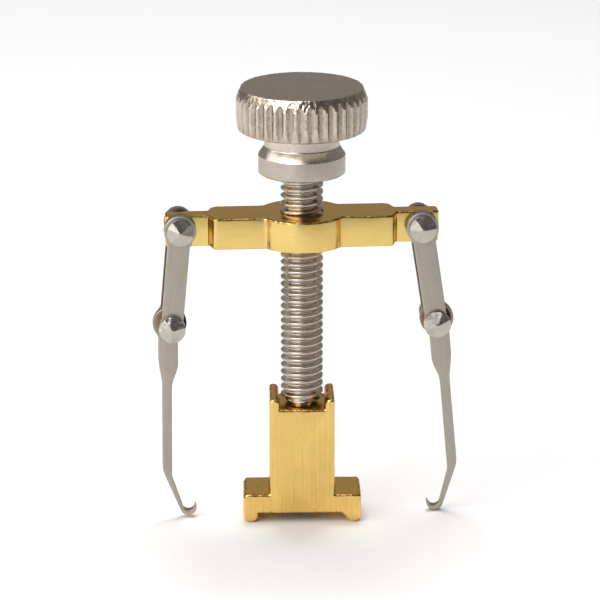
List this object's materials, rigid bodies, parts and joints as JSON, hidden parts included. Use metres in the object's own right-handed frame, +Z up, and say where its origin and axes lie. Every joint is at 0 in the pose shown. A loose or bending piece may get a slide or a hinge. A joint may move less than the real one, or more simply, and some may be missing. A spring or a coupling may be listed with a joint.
{
  "type": "miniature two-arm hook puller",
  "caption": "Small screw-driven puller: a knurled thumb screw in a T-shaped pressure foot lifts a crossbar with hinged arms and hooked fingers.",
  "frame": {"origin": "on the screw axis, at the level the two feet of the pressure foot stand on", "axes": "+Z up along the screw towards the knob, +X along the foot towards the right arm, +Y towards the back"},
  "size_m": [0.0281, 0.012, 0.0408],
  "materials": {
    "gold_plate": "bright satin gold plate, finely brushed",
    "nickel_plate": "satin nickel plate on turned steel",
    "rivet_steel": "tumbled bright steel",
    "arm_steel": "warm grey satin steel, brushed lengthwise"
  },
  "bodies": {
    "foot": {"pressure_foot": "gold_plate", "retaining_washer": "rivet_steel"},
    "screw": {"thumb_screw": "nickel_plate"},
    "crossbar": {"crossbar": "gold_plate"},
    "left_arm": {"left_front_link": "arm_steel", "left_back_link": "arm_steel", "left_upper_stud": "rivet_steel", "left_upper_cap": "rivet_steel", "left_lower_stud": "rivet_steel", "left_lower_cap": "rivet_steel"},
    "left_finger": {"left_hook": "arm_steel", "left_front_washer": "rivet_steel", "left_back_washer": "rivet_steel"},
    "right_arm": {"right_front_link": "arm_steel", "right_back_link": "arm_steel", "right_upper_stud": "rivet_steel", "right_upper_cap": "rivet_steel", "right_lower_stud": "rivet_steel", "right_lower_cap": "rivet_steel"},
    "right_finger": {"right_hook": "arm_steel", "right_front_washer": "rivet_steel", "right_back_washer": "rivet_steel"}
  },
  "joints": [
    {"name": "screw_turn", "type": "hinge", "parent": "foot", "child": "screw", "pos_m": [0, 0, 0.02], "axis": [0, 0, 1], "range_deg": [-1800, 7200]},
    {"name": "crossbar_travel", "type": "slide", "parent": "foot", "child": "crossbar", "axis": [0, 0, 1], "range_m": [-0.01401, 0.00351]},
    {"name": "left_arm_swing", "type": "hinge", "parent": "crossbar", "child": "left_arm", "pos_m": [-0.01115, -0.00062, 0.028], "axis": [-0.0558, 0.9984, 0], "range_deg": [-7.6, 110]},
    {"name": "right_arm_swing", "type": "hinge", "parent": "crossbar", "child": "right_arm", "pos_m": [0.01085, 0.00061, 0.02785], "axis": [0.0558, -0.9984, 0], "range_deg": [-10.9, 106.5]},
    {"name": "left_hook_swing", "type": "hinge", "parent": "left_arm", "child": "left_finger", "pos_m": [-0.01197, -0.00067, 0.01887], "axis": [-0.0558, 0.9984, 0], "range_deg": [-7.2, 100]},
    {"name": "right_hook_swing", "type": "hinge", "parent": "right_arm", "child": "right_finger", "pos_m": [0.01224, 0.00068, 0.01879], "axis": [0.0558, -0.9984, 0], "range_deg": [-9.4, 98]}
  ],
  "couplings": [
    {"joint": "crossbar_travel", "follows": "screw_turn", "m_per_rad": -0.00011141}
  ]
}
